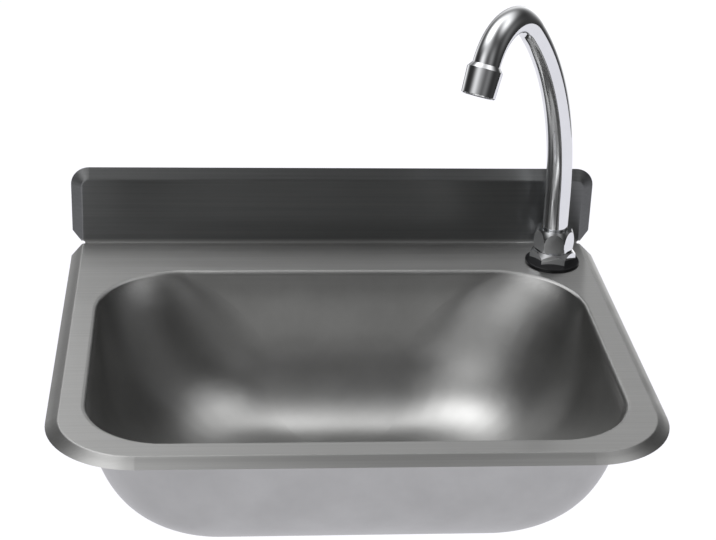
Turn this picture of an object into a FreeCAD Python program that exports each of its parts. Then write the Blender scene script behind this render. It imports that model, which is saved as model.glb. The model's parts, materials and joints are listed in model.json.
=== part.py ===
"""Wall-hung stainless steel hand wash basin with a swivelling swan-neck tap and a strainer waste.

Frame: +Z up, +Y towards the wall, X along the wall. The origin lies on the wall plane, in the
middle of the basin, level with the top of the deck. Lengths are in millimetres, angles in degrees.
"""
import FreeCAD, Part
import math
import os
import re
import Sketcher

doc = FreeCAD.newDocument("hand_wash_basin")
sheet = doc.addObject("Spreadsheet::Sheet", "Sizes")

# ---------------------------------------------------------------- driving dimensions
SIZES = [
    # the pressed sheet
    ("sheet_metal", 1.0, "thickness of the stainless sheet"),
    ("rim_depth", 330.0, "wall to the front edge of the rim"),
    ("flange_reach", 8.0, "bent border of the sheet, measured along the face it borders"),
    ("flange_drop", 5.0, "bent border of the sheet, measured across that face"),
    ("rim_corner", 50.0, "front corners of the deck, at the bend"),
    ("bend_inside", 1.5, "inside radius of the bends"),
    ("upstand_height", 52.0, "flat panel of the upstand, from the deck to its top bend"),
    ("upstand_corner", 6.0, "top corners of the upstand panel"),
    ("notch_height", 8.5, "mitre at the foot of the upstand's side borders"),
    ("notch_length", 12.5, "mitre at the back of the rim's side borders"),
    ("relief", 1.6, "radius of the relief where the bends meet"),
    # the bowl
    ("bowl_width", 352.0, "bowl opening, left to right"),
    ("side_land", 16.0, "flat rim between the side bends and the bowl"),
    ("front_land", 17.0, "flat rim between the front bend and the bowl"),
    ("rear_deck", 53.0, "deck between the upstand and the bowl"),
    ("bowl_corner_front", 51.0, "bowl opening, front corners"),
    ("bowl_corner_back", 57.0, "bowl opening, back corners"),
    ("bowl_depth", 105.0, "deck to the bowl's floor"),
    ("floor_corner_front", 0.30, "front corners of the bowl's flat floor, as a share of its length"),
    ("floor_corner_back", 0.60, "back corners of the bowl's flat floor, as a share of its length"),
    ("corner_swell", 48.0, "how much softer the bowl's back corners are half way down"),
    ("side_knuckle", 96.0, "radius between the bowl's sides and its floor"),
    ("end_knuckle", 70.0, "radius between the bowl's front or back and its floor"),
    ("side_draft", 10.0, "lean of the bowl's sides"),
    ("end_draft", 8.0, "lean of the bowl's front and back"),
    ("lip_roll", 3.5, "radius from the deck into the bowl"),
    # the hanger behind the upstand
    ("bracket_metal", 1.5, "thickness of the wall bracket"),
    ("bracket_width", 320.0, "length of the wall bracket"),
    ("bracket_foot", 50.0, "wall bracket below the deck"),
    ("bracket_step", 13.0, "height of the wall bracket's step"),
    ("bracket_top", 31.0, "top edge of the wall bracket, which carries the basin"),
    ("hook_metal", 1.0, "thickness of the hook rail"),
    ("hook_width", 300.0, "length of the hook rail"),
    ("hook_leg", 13.0, "leg of the hook rail behind the bracket"),
    ("hook_weld_leg", 14.0, "leg of the hook rail welded to the upstand"),
    ("hook_clearance", 0.45, "free play of the bracket inside the hook"),
    ("screw_hole", 6.5, "diameter of the wall screw holes"),
    ("screw_spacing", 260.0, "wall screws, left to right"),
    ("screw_rows", 24.0, "wall screws, row to row"),
    ("screw_level", 28.0, "middle of the wall screws below the deck"),
    # the tap's place and fixing
    ("tap_inset", 27.5, "tap axis in from the right-hand bend of the rim"),
    ("tap_setback", 36.5, "tap axis in front of the upstand"),
    ("tap_hole", 22.0, "diameter of the tap hole"),
    ("gasket_diameter", 41.0, "black base gasket"),
    ("gasket_height", 2.7, "black base gasket"),
    ("shank_diameter", 20.955, "half inch pipe thread, over the crests"),
    ("shank_length", 45.0, "tap shank below the deck"),
    ("waterway", 13.0, "bore of the tap shank"),
    ("thread_relief", 1.2, "depth of the groove that ends the shank's thread under the backnut"),
    ("base_flats", 30.0, "hexagon of the tap base, across its flats"),
    ("base_height", 9.3, "hexagon of the tap base"),
    ("base_turn", -9.0, "turn of the tap's hexagons"),
    ("base_crown", 52.0, "slope of the bevelled top of the hexagon"),
    ("deck_washer_diameter", 36.0, "fibre washer under the deck"),
    ("deck_washer_height", 2.0, "fibre washer under the deck"),
    ("backnut_flats", 30.0, "backnut, across its flats"),
    ("backnut_height", 7.0, "backnut"),
    ("thread_clearance", 0.05, "radial gap left between threaded pieces"),
    ("hole_clearance", 0.3, "radial gap of loose rings round what they slide over"),
    # the swivel
    ("socket_diameter", 19.1, "bore of the tap base that the spout turns in"),
    ("socket_depth", 10.0, "depth of that bore"),
    ("spigot_diameter", 24.0, "male thread of the tap base"),
    ("swivel_height", 10.0, "male thread of the tap base above its hexagon"),
    ("swivel_clearance", 0.08, "radial running clearance of the spout in its socket"),
    ("glide_height", 1.0, "glide ring under the spout's shoulder"),
    ("shoulder_diameter", 22.6, "shoulder of the spout's collar"),
    ("shoulder_height", 2.0, "shoulder of the spout's collar"),
    ("nut_gap", 0.5, "gap above the tap base's hexagon"),
    ("nut_flats", 26.4, "domed hexagon nut, across its flats"),
    ("nut_dome", 24.0, "domed hexagon nut, radius of its turned side"),
    ("nut_foot", 28.8, "domed hexagon nut, diameter at its foot"),
    ("nut_top", 25.4, "domed hexagon nut, diameter at its top"),
    ("nut_height", 16.7, "domed hexagon nut"),
    ("nut_play", 0.2, "gap between the spout's shoulder and the nut"),
    ("ring_section", 1.6, "section of the O-rings"),
    ("ring_pitch", 3.6, "spacing of the O-rings"),
    ("ring_start", 2.4, "first O-ring above the foot of the collar"),
    # the swan neck
    ("tube_diameter", 19.0, "swan-neck tube"),
    ("tube_wall", 1.0, "wall of the swan-neck tube"),
    ("riser_top", 54.5, "top of the straight riser above the deck"),
    ("sweep_radius", 198.5, "long curve of the riser, at the centre line"),
    ("sweep_turn", 48.3, "turn of that curve"),
    ("crook_radius", 37.2, "tight curve over the top, at the centre line"),
    ("crook_turn", 107.8, "turn of that curve"),
    ("tube_tail", 8.0, "straight end of the tube"),
    ("spout_swing", 38.0, "spout swung from straight forward towards the left"),
    # the outlet
    ("tip_shoulder", 24.2, "shoulder of the threaded tip, diameter"),
    ("tip_rise", 3.0, "height of that shoulder's taper"),
    ("tip_thread", 22.0, "thread of the tip, diameter"),
    ("tip_length", 8.0, "thread of the tip"),
    ("aerator_diameter", 24.6, "aerator housing"),
    ("aerator_length", 18.4, "aerator housing"),
    ("aerator_foot", 23.4, "aerator housing, outside at its mouth"),
    ("aerator_mouth", 18.4, "mouth of the aerator housing"),
    ("aerator_lip", 1.6, "lip that holds the insert"),
    ("aerator_washer_height", 1.5, "rubber washer of the aerator"),
    ("insert_deck", 3.0, "perforated top of the aerator's plastic insert"),
    ("jet_hole", 2.6, "holes of the insert and the screen"),
    ("jet_circle", 14.4, "outer circle of those holes, diameter"),
    ("jet_inner_circle", 7.2, "inner circle of those holes, diameter"),
    ("screen_height", 1.2, "outlet screen of the aerator"),
    # the waste
    ("recess_diameter", 74.0, "pressed seat of the strainer"),
    ("recess_depth", 2.6, "pressed seat of the strainer"),
    ("waste_hole", 50.0, "hole in the bowl's floor"),
    ("strainer_diameter", 70.0, "strainer plate"),
    ("strainer_metal", 1.2, "strainer plate"),
    ("strainer_dish", 44.0, "dished middle of the strainer plate, diameter"),
    ("dish_depth", 3.0, "dished middle of the strainer plate"),
    ("drain_hole", 6.0, "holes of the strainer plate"),
    ("drain_circle", 34.0, "outer circle of holes, diameter"),
    ("drain_inner_circle", 20.0, "inner circle of holes, diameter"),
    ("seal_height", 1.4, "rubber seals of the waste"),
    ("tail_flange", 64.0, "flange of the waste tail, diameter"),
    ("tail_flange_height", 3.0, "flange of the waste tail"),
    ("tail_thread", 47.8, "one and a half inch pipe thread, over the crests"),
    ("tail_bore", 41.0, "bore of the waste tail"),
    ("tail_length", 16.5, "waste tail below its flange"),
    ("rib_width", 4.0, "ribs that hold the waste screw"),
    ("rib_height", 6.0, "ribs that hold the waste screw"),
    ("boss_diameter", 12.0, "boss in the middle of those ribs"),
    ("waste_screw", 6.0, "waste screw, thread diameter"),
    ("waste_screw_head", 11.0, "waste screw, head diameter"),
    ("waste_screw_head_height", 2.6, "waste screw, head height"),
    ("rib_level", 5.0, "ribs below the underside of the tail's flange"),
]
for row, (alias, value, note) in enumerate(SIZES, start=1):
    sheet.set(f"A{row}", note)
    sheet.set(f"B{row}", str(value))
    sheet.setAlias(f"B{row}", alias)
doc.recompute()


# ---------------------------------------------------------------- helpers
ALIAS = re.compile(r"\b(" + "|".join(entry[0] for entry in SIZES) + r")\b")


def size(text):
    """An expression in the sheet's aliases, spelled out for use outside the sheet."""
    return ALIAS.sub(r"Sizes.\1", text)


def number(text):
    """The present value of an expression in the sheet's aliases."""
    return float(sheet.evalExpression(size(text)))


def new_body(name, placement=None):
    body = doc.addObject("PartDesign::Body", name)
    body.Label = name
    if placement:
        body.setExpression("Placement", size(placement))
    return body


def new_sketch(body, name, plane, offset=None):
    """A sketch on one of the body's own origin planes, moved along its normal."""
    sketch = body.newObject("Sketcher::SketchObject", name)
    origin = [item for item in body.Origin.OriginFeatures if item.Role == plane][0]
    sketch.AttachmentSupport = [(origin, "")]
    sketch.MapMode = "FlatFace"
    if offset:
        sketch.setExpression(".AttachmentOffset.Base.z", size(offset))
    return sketch


def bind(sketch, constraint, text):
    """Add a constraint whose value follows an expression."""
    index = sketch.addConstraint(constraint)
    sketch.setExpression(f"Constraints[{index}]", size(text))


def pin(sketch, geometry, end, across=None, up=None):
    """Fix a point of the sketch at an expression across and up from its origin."""
    for kind, text, axis in (("DistanceX", across, -2), ("DistanceY", up, -1)):
        if text is None:
            continue
        value = number(text)
        if abs(value) < 1e-9:
            sketch.addConstraint(Sketcher.Constraint("PointOnObject", geometry, end, axis))
        elif value > 0:
            bind(sketch, Sketcher.Constraint(kind, -1, 1, geometry, end, value), text)
        else:
            bind(sketch, Sketcher.Constraint(kind, geometry, end, -1, 1, -value), f"-({text})")


def polygon(sketch, points):
    """Closed outline through (across, up) expressions."""
    corners = [FreeCAD.Vector(number(x), number(y), 0) for x, y in points]
    first = sketch.GeometryCount
    for start, end in zip(corners, corners[1:] + corners[:1]):
        sketch.addGeometry(Part.LineSegment(start, end), False)
    for i, (x, y) in enumerate(points):
        following = first + (i + 1) % len(points)
        sketch.addConstraint(Sketcher.Constraint("Coincident", first + i, 2, following, 1))
        pin(sketch, first + i, 1, x, y)


def circle(sketch, diameter, across="0", up="0"):
    centre = FreeCAD.Vector(number(across), number(up), 0)
    ring = Part.Circle(centre, FreeCAD.Vector(0, 0, 1), number(diameter) / 2)
    index = sketch.addGeometry(ring, False)
    bind(sketch, Sketcher.Constraint("Diameter", index, number(diameter)), diameter)
    if across == "0" and up == "0":
        sketch.addConstraint(Sketcher.Constraint("Coincident", index, 3, -1, 1))
    else:
        pin(sketch, index, 3, across, up)


def hexagon(sketch, flats, turn):
    """A hexagon round the sketch's origin, turned by an angle."""
    radius = f"({flats}) / sqrt(3)"
    polygon(sketch, [(f"{radius} * cos({turn} + {60 * i})", f"{radius} * sin({turn} + {60 * i})")
                     for i in range(6)])


def tray(sketch, half, low, high, low_radius=None, high_radius=None):
    """A rectangle centred across the sketch, with its low and high corners square or rounded."""
    a, bottom, top = number(half), number(low), number(high)
    r_low = number(low_radius) if low_radius else 0.0
    r_high = number(high_radius) if high_radius else 0.0
    steps = []
    # walk round anticlockwise from the lower left; each side is followed by its corner
    sides = [((-a + r_low, bottom), (a - r_low, bottom), r_low, (a - r_low, bottom + r_low), -90),
             ((a, bottom + r_low), (a, top - r_high), r_high, (a - r_high, top - r_high), 0),
             ((a - r_high, top), (-a + r_high, top), r_high, (-a + r_high, top - r_high), 90),
             ((-a, top - r_high), (-a, bottom + r_low), r_low, (-a + r_low, bottom + r_low), 180)]
    for start, end, radius, centre, angle in sides:
        line = Part.LineSegment(FreeCAD.Vector(*start, 0), FreeCAD.Vector(*end, 0))
        steps.append(("line", sketch.addGeometry(line, False)))
        if radius:
            ring = Part.Circle(FreeCAD.Vector(*centre, 0), FreeCAD.Vector(0, 0, 1), radius)
            arc = Part.ArcOfCircle(ring, math.radians(angle), math.radians(angle + 90))
            steps.append(("arc", sketch.addGeometry(arc, False)))
    for (kind, index), (next_kind, next_index) in zip(steps, steps[1:] + steps[:1]):
        joint = "Tangent" if "arc" in (kind, next_kind) else "Coincident"
        sketch.addConstraint(Sketcher.Constraint(joint, index, 2, next_index, 1))
    lines = [index for kind, index in steps if kind == "line"]
    arcs = [index for kind, index in steps if kind == "arc"]
    for index, way in zip(lines, ("Horizontal", "Vertical", "Horizontal", "Vertical")):
        sketch.addConstraint(Sketcher.Constraint(way, index))
    pin(sketch, lines[0], 1, up=low)
    pin(sketch, lines[1], 1, across=half)
    pin(sketch, lines[2], 1, up=high)
    pin(sketch, lines[3], 1, across=f"-({half})")
    radii = {}
    if low_radius and high_radius:
        radii = {arcs[0]: low_radius, arcs[1]: high_radius, arcs[2]: high_radius, arcs[3]: low_radius}
    elif low_radius:
        radii = {arcs[0]: low_radius, arcs[1]: low_radius}
    elif high_radius:
        radii = {arcs[0]: high_radius, arcs[1]: high_radius}
    for index, text in radii.items():
        bind(sketch, Sketcher.Constraint("Radius", index, number(text)), text)


def spandrel(sketch, across, up, radius, beyond):
    """The piece between a square corner and the arc that rounds it, to the left of and above it.

    It runs on past both sides of the corner, so that it cuts or joins cleanly.
    """
    left = f"{across} - {radius}"
    over = f"{up} + {radius}"
    right = f"{across} + {beyond}"
    below = f"{up} - ({beyond})"
    points = [(left, up), (left, below), (right, below), (right, over), (across, over)]
    corners = [FreeCAD.Vector(number(x), number(y), 0) for x, y in points]
    for start, end in zip(corners, corners[1:]):
        sketch.addGeometry(Part.LineSegment(start, end), False)
    ring = Part.Circle(FreeCAD.Vector(number(left), number(over), 0), FreeCAD.Vector(0, 0, 1), number(radius))
    arc = sketch.addGeometry(Part.ArcOfCircle(ring, -math.pi / 2, 0), False)
    for i, (x, y) in enumerate(points[:-1]):
        pin(sketch, i, 1, x, y)
        following = (i + 1, 1) if i < 3 else (arc, 2)
        sketch.addConstraint(Sketcher.Constraint("Coincident", i, 2, *following))
    pin(sketch, 3, 2, across, over)
    sketch.addConstraint(Sketcher.Constraint("Coincident", arc, 1, 0, 1))
    bind(sketch, Sketcher.Constraint("Radius", arc, number(radius)), radius)


def loft(body, name, kind, sketches, ruled=False):
    feature = body.newObject(f"PartDesign::{kind}Loft", name)
    feature.Profile = sketches[0]
    feature.Sections = sketches[1:]
    feature.Ruled = ruled
    doc.recompute()
    return feature


def pad(body, name, sketch, length, reverse=False, middle=False):
    feature = body.newObject("PartDesign::Pad", name)
    feature.Profile = sketch
    feature.setExpression("Length", size(length))
    feature.Reversed = reverse
    feature.Midplane = middle
    doc.recompute()
    return feature


def pocket(body, name, sketch, length=None, reverse=False, middle=False):
    """Cut to a depth, or right through when no depth is given, and check that it cuts."""
    before = body.Shape.Volume
    feature = body.newObject("PartDesign::Pocket", name)
    feature.Profile = sketch
    feature.Reversed = reverse
    feature.Midplane = middle
    if length:
        feature.setExpression("Length", size(length))
    else:
        feature.Type = "ThroughAll"
    doc.recompute()
    if not body.Shape.Volume < before - 1e-6:
        raise RuntimeError(f"{body.Label}: {name} cuts nothing")
    return feature


def turn(body, name, points, kind="Revolution"):
    """Revolve an outline of (radius, height) expressions round the body's Z axis."""
    before = body.Shape.Volume if kind == "Groove" else 0.0
    sketch = new_sketch(body, f"{name}_outline", "XZ_Plane")
    polygon(sketch, points)
    feature = body.newObject(f"PartDesign::{kind}", name)
    feature.Profile = sketch
    feature.ReferenceAxis = (sketch, ["V_Axis"])
    feature.Angle = 360.0
    doc.recompute()
    if kind == "Groove" and not feature.Shape.Volume < before - 1e-6:
        raise RuntimeError(f"{body.Label}: {name} cuts nothing")
    return feature


def polar(body, name, feature, count):
    """Repeat a feature round the body's Z axis."""
    pattern = body.newObject("PartDesign::PolarPattern", name)
    pattern.Originals = [feature]
    axis = [item for item in body.Origin.OriginFeatures if item.Role == "Z_Axis"][0]
    pattern.Axis = (axis, [""])
    pattern.Angle = 360.0
    pattern.Occurrences = count
    body.Tip = pattern
    doc.recompute()
    return pattern


def edges(feature, wanted):
    """Names of the feature's edges that a test accepts."""
    return [f"Edge{i}" for i, edge in enumerate(feature.Shape.Edges, start=1) if wanted(edge)]


def dress(body, name, kind, base, wanted, amount):
    """Fillet or chamfer the edges that a test accepts."""
    found = edges(base, wanted)
    if not found:
        raise RuntimeError(f"{body.Label}: {name} finds no edge")
    feature = body.newObject(f"PartDesign::{kind}", name)
    feature.Base = (base, found)
    feature.setExpression("Radius" if kind == "Fillet" else "Size", size(amount))
    doc.recompute()
    return feature


def within(edge, x=None, y=None, z=None, slack=0.02):
    """Whether the whole edge lies between the given limits along each axis."""
    box = edge.BoundBox
    spans = ((x, box.XMin, box.XMax), (y, box.YMin, box.YMax), (z, box.ZMin, box.ZMax))
    return all(span is None or (low >= span[0] - slack and high <= span[1] + slack)
               for span, low, high in spans)


# ---------------------------------------------------------------- basin: one pressed sheet
HALF_DECK = "(bowl_width / 2 + side_land)"
HALF_RIM = f"({HALF_DECK} + flange_reach)"
DECK_FRONT = "(rim_depth - flange_reach)"
BEND_HALF = "(atan(flange_drop / flange_reach) / 2)"
UNDER_BEND = f"(sheet_metal * tan{BEND_HALF})"
UNDER_EDGE = "(sheet_metal / sin(atan(flange_drop / flange_reach)))"
BEND_OUTSIDE = "(bend_inside + sheet_metal)"


def rim(body):
    """The deck with its border bent down at the front and both sides, hollow underneath."""
    back = "-(flange_drop - sheet_metal)"
    top = new_sketch(body, "deck_outline", "XY_Plane")
    tray(top, HALF_DECK, f"-{DECK_FRONT}", back, low_radius="rim_corner")
    edge = new_sketch(body, "rim_edge", "XY_Plane", "-flange_drop")
    tray(edge, HALF_RIM, "-rim_depth", back, low_radius="rim_corner + flange_reach")
    loft(body, "rim_block", "Additive", [top, edge], ruled=True)
    beyond = "rim_corner"
    under = new_sketch(body, "deck_underside", "XY_Plane", "-sheet_metal")
    tray(under, f"{HALF_DECK} - {UNDER_BEND}", f"-({DECK_FRONT} - {UNDER_BEND})", beyond,
         low_radius=f"rim_corner - {UNDER_BEND}")
    mouth = new_sketch(body, "rim_mouth", "XY_Plane", "-flange_drop")
    tray(mouth, f"{HALF_RIM} - {UNDER_EDGE}", f"-(rim_depth - {UNDER_EDGE})", beyond,
         low_radius=f"rim_corner + flange_reach - {UNDER_EDGE}")
    loft(body, "rim_hollow", "Subtractive", [under, mouth], ruled=True)


def upstand(body):
    """The panel folded up at the back, with its border bent back at the top and both sides."""
    front = new_sketch(body, "panel_outline", "XZ_Plane", "flange_drop")
    tray(front, HALF_DECK, "-sheet_metal", "upstand_height", high_radius="upstand_corner")
    edge = new_sketch(body, "upstand_edge", "XZ_Plane")
    tray(edge, HALF_RIM, "-sheet_metal", "upstand_height + flange_reach",
         high_radius="upstand_corner + flange_reach")
    loft(body, "upstand_block", "Additive", [front, edge], ruled=True)
    beyond = "-flange_drop"
    behind = new_sketch(body, "panel_back", "XZ_Plane", "flange_drop - sheet_metal")
    tray(behind, f"{HALF_DECK} - {UNDER_BEND}", beyond, f"upstand_height - {UNDER_BEND}",
         high_radius=f"upstand_corner - {UNDER_BEND}")
    mouth = new_sketch(body, "upstand_mouth", "XZ_Plane")
    tray(mouth, f"{HALF_RIM} - {UNDER_EDGE}", beyond, f"upstand_height + flange_reach - {UNDER_EDGE}",
         high_radius=f"upstand_corner + flange_reach - {UNDER_EDGE}")
    loft(body, "upstand_hollow", "Subtractive", [behind, mouth], ruled=True)


def notches(body):
    """Mitres and round reliefs where the two borders and the fold meet."""
    outside = f"({HALF_RIM} + flange_reach)"
    for side, sign in (("left", "-1"), ("right", "1")):
        corner = f"{sign} * {HALF_DECK}"
        panel = new_sketch(body, f"{side}_upstand_mitre", "XZ_Plane")
        polygon(panel, [(corner, "-flange_drop"),
                        (f"{sign} * {outside}", "-flange_drop"),
                        (f"{sign} * {outside}", "2 * notch_height"),
                        (corner, "0")])
        pocket(body, f"{side}_upstand_notch", panel, "2 * (flange_drop + relief)", middle=True)
        deck = new_sketch(body, f"{side}_rim_mitre", "XY_Plane")
        polygon(deck, [(corner, "0"),
                       (f"{sign} * {outside}", "0"),
                       (f"{sign} * {outside}", "-flange_drop - 2 * notch_length"),
                       (corner, "-flange_drop")])
        pocket(body, f"{side}_rim_notch", deck, "2 * flange_drop", middle=False)
        hole = new_sketch(body, f"{side}_relief_outline", "XZ_Plane")
        circle(hole, "2 * relief", corner, "0")
        pocket(body, f"{side}_relief", hole, "2 * (flange_drop + relief)", middle=True)


def bends(body):
    """Rounded bends: the borders of rim and upstand, and the fold between them."""
    drop = number("flange_drop")
    metal = number("sheet_metal")
    shortest = number("4 * relief")

    def on(edge, **plane):
        return edge.Length > shortest and within(edge, **plane)

    faces = {"rim_bend": ("z", 0.0, "y", -drop, BEND_OUTSIDE),
             "rim_bend_under": ("z", -metal, "y", metal - drop, "bend_inside"),
             "upstand_bend": ("y", -drop, "z", 0.0, BEND_OUTSIDE),
             "upstand_bend_behind": ("y", metal - drop, "z", -metal, "bend_inside")}
    for name, (axis, level, other, fold, radius) in faces.items():
        wanted = lambda edge: (on(edge, **{axis: (level, level)})
                               and not within(edge, **{other: (fold, fold)}))
        dress(body, name, "Fillet", body.Tip, wanted, radius)


def fold(body):
    """The cove between the deck and the upstand."""
    cove = new_sketch(body, "fold_cove", "YZ_Plane")
    spandrel(cove, "-flange_drop", "0", "bend_inside", "sheet_metal / 2")
    pad(body, "fold_metal", cove, f"2 * ({HALF_DECK} - relief)", middle=True)


TAP_ACROSS = f"({HALF_DECK} - tap_inset)"
TAP_DEEP = "-(flange_drop + tap_setback)"
BOWL_BACK = "(flange_drop + rear_deck)"
BOWL_FRONT = f"({DECK_FRONT} - front_land)"
WASTE_Y = f"-(({BOWL_FRONT} + {BOWL_BACK}) / 2)"


def inset(wall, depth, grow):
    """How far a bowl wall has come in at a depth: a leaning line, then the knuckle's arc.

    wall is side or end. grow moves the surface outwards, square to itself, by the sheet.
    """
    radius = f"{wall}_knuckle"
    lean = f"{wall}_draft"
    centre = f"(bowl_depth - {radius})"
    tangent = f"({centre} + {radius} * sin({lean}))"
    centre_inset = f"({tangent} * tan({lean}) + {radius} * cos({lean}))"
    straight = f"(({depth}) * tan({lean}) - ({grow}) / cos({lean}))"
    curved = f"({centre_inset} - sqrt(abs(({radius} + {grow}) ^ 2 - (({depth}) - {centre}) ^ 2)))"
    return f"(({depth}) < {tangent} + ({grow}) * sin({lean}) ? {straight} : {curved})"


FLOOR_LENGTH = f"({BOWL_FRONT} - {BOWL_BACK} - 2 * {inset('end', 'bowl_depth', '0')})"


def bowl_section(body, name, depth, grow):
    """Plan of the bowl at a depth below the deck."""
    sketch = new_sketch(body, name, "XY_Plane", f"-({depth})")
    end = inset("end", depth, grow)
    down = f"(max({depth}; 0) / bowl_depth)"
    front = f"bowl_corner_front + (floor_corner_front * {FLOOR_LENGTH} - bowl_corner_front) * {down} ^ 2"
    back = f"bowl_corner_back + (floor_corner_back * {FLOOR_LENGTH} - bowl_corner_back) * {down} ^ 2"
    tray(sketch, f"bowl_width / 2 - {inset('side', depth, grow)}",
         f"-({BOWL_FRONT} - {end})", f"-({BOWL_BACK} + {end})",
         low_radius=f"{front} + {grow}",
         high_radius=f"{back} + 4 * corner_swell * {down} * (1 - {down}) + {grow}")
    return sketch


def bowl_surface(body, name, kind, start, grow):
    """Loft the bowl from its mouth to its floor, through sections spaced round the knuckle."""
    side_start = "(bowl_depth - side_knuckle + side_knuckle * sin(side_draft))"
    depths = [start, side_start]
    for angle in ("end_draft", "24", "40", "55", "68", "80", "90"):
        depths.append(f"(bowl_depth - end_knuckle + (end_knuckle + {grow}) * sin({angle}))")
    sections = [bowl_section(body, f"{name}_{i}", depth, grow) for i, depth in enumerate(depths)]
    return loft(body, name, kind, sections)


def bowl(body):
    """The deep-drawn bowl, its rolled lip and the pressed seat of the waste."""
    bowl_surface(body, "bowl_outside", "Additive", "sheet_metal / 2", "sheet_metal")
    bowl_surface(body, "bowl_inside", "Subtractive", "-sheet_metal", "0")
    front = number(BOWL_FRONT) + number("sheet_metal") * 2
    half = number("bowl_width / 2 + 2 * sheet_metal")
    back = number(BOWL_BACK) - 2 * number("sheet_metal")
    metal = number("sheet_metal")
    mouth = lambda edge: within(edge, x=(-half, half), y=(-front, -back), z=(0, 0))
    dress(body, "bowl_lip", "Fillet", body.Tip, mouth, "lip_roll")
    root = lambda edge: within(edge, x=(-half, half), y=(-front, -back), z=(-metal, -metal))
    dress(body, "bowl_lip_under", "Fillet", body.Tip, root, "lip_roll - sheet_metal")


def openings(body):
    """The waste's seat and hole, and the tap hole."""
    seat = new_sketch(body, "seat_outside", "XY_Plane", "-(bowl_depth + sheet_metal / 2)")
    circle(seat, "recess_diameter + 2 * sheet_metal", "0", WASTE_Y)
    pad(body, "seat_metal", seat, "recess_depth + sheet_metal / 2", reverse=True)
    seat = new_sketch(body, "seat_inside", "XY_Plane", "-(bowl_depth - sheet_metal)")
    circle(seat, "recess_diameter", "0", WASTE_Y)
    pocket(body, "seat", seat, "recess_depth + sheet_metal")
    hole = new_sketch(body, "waste_hole_outline", "XY_Plane")
    circle(hole, "waste_hole", "0", WASTE_Y)
    pocket(body, "waste_hole_cut", hole)
    hole = new_sketch(body, "tap_hole_outline", "XY_Plane")
    circle(hole, "tap_hole", TAP_ACROSS, TAP_DEEP)
    pocket(body, "tap_hole_cut", hole)


basin = new_body("basin")
for step in (rim, upstand, notches, bends, fold, bowl, openings):
    step(basin)


# ---------------------------------------------------------------- hanger
PANEL_BACK = "-(flange_drop - sheet_metal)"
BRACKET_FRONT = f"({PANEL_BACK} + hook_clearance)"
BRACKET_BACK = f"({BRACKET_FRONT} + bracket_metal)"
HOOK_BACK = f"({BRACKET_BACK} + hook_clearance)"
HOOK_OUTSIDE = f"({HOOK_BACK} + hook_metal)"
HOOK_TOP = "(bracket_top + hook_metal)"


def hook_rail():
    """Folded strip welded behind the upstand; its web hangs on the bracket's top edge."""
    body = new_body("hook_rail")
    outline = new_sketch(body, "section", "YZ_Plane")
    polygon(outline, [(PANEL_BACK, f"{HOOK_TOP} + hook_weld_leg"),
                      (PANEL_BACK, "bracket_top"),
                      (HOOK_BACK, "bracket_top"),
                      (HOOK_BACK, "bracket_top - hook_leg"),
                      (HOOK_OUTSIDE, "bracket_top - hook_leg"),
                      (HOOK_OUTSIDE, HOOK_TOP),
                      (f"{PANEL_BACK} + hook_metal", HOOK_TOP),
                      (f"{PANEL_BACK} + hook_metal", f"{HOOK_TOP} + hook_weld_leg")])
    pad(body, "strip", outline, "hook_width", middle=True)
    return body


def wall_bracket():
    """Stepped plate screwed to the wall; its upper leg stands off the wall behind the upstand."""
    body = new_body("wall_bracket")
    outline = new_sketch(body, "section", "YZ_Plane")
    polygon(outline, [(BRACKET_FRONT, "bracket_top"),
                      (BRACKET_FRONT, "bracket_step"),
                      ("-bracket_metal", "bracket_step"),
                      ("-bracket_metal", "-bracket_foot"),
                      ("0", "-bracket_foot"),
                      ("0", "bracket_step + bracket_metal"),
                      (BRACKET_BACK, "bracket_step + bracket_metal"),
                      (BRACKET_BACK, "bracket_top")])
    pad(body, "plate", outline, "bracket_width", middle=True)
    holes = new_sketch(body, "screw_holes_outline", "XZ_Plane")
    for across in ("-screw_spacing / 2", "screw_spacing / 2"):
        for up in ("-screw_level - screw_rows / 2", "-screw_level + screw_rows / 2"):
            circle(holes, "screw_hole", across, up)
    pocket(body, "screw_holes", holes, "4 * bracket_metal", middle=True)
    return body


# ---------------------------------------------------------------- tap, up from the deck
TAP = f"placement(vector({TAP_ACROSS}; {TAP_DEEP}; 0); rotation(vector(0; 0; 1); 0))"
HEX_TOP = "(gasket_height + base_height)"
SPIGOT_TOP = f"({HEX_TOP} + swivel_height)"
SOCKET_FLOOR = f"({SPIGOT_TOP} - socket_depth)"
WASHER_FOOT = "-(sheet_metal + deck_washer_height)"
BACKNUT_FOOT = f"({WASHER_FOOT} - backnut_height)"
NUT_FOOT = f"({HEX_TOP} + nut_gap)"
NUT_HEAD = f"({NUT_FOOT} + nut_height)"
SHOULDER_FOOT = f"({SPIGOT_TOP} + glide_height)"
SHOULDER_HEAD = f"({SHOULDER_FOOT} + shoulder_height)"
NUT_LIP = f"({SHOULDER_HEAD} + nut_play)"
COLLAR_RADIUS = "(socket_diameter / 2 - swivel_clearance)"
THREAD_ROOT = "(shank_diameter / 2 - thread_relief)"


def ring(name, placement, inner, outer, low, high):
    """A plain ring between two radii and two levels."""
    body = new_body(name, placement)
    turn(body, "section", [(inner, low), (outer, low), (outer, high), (inner, high)])
    return body


def tap_gasket():
    inner = "shank_diameter / 2 + hole_clearance"
    body = ring("tap_gasket", TAP, inner, "gasket_diameter / 2", "0", "gasket_height")
    radius = number("gasket_diameter / 2")
    top = number("gasket_height")
    wanted = lambda edge: within(edge, z=(top, top)) and edge.BoundBox.XMax > radius * 0.99
    dress(body, "soft_edge", "Fillet", body.Tip, wanted, "gasket_height / 5")
    return body


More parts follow.
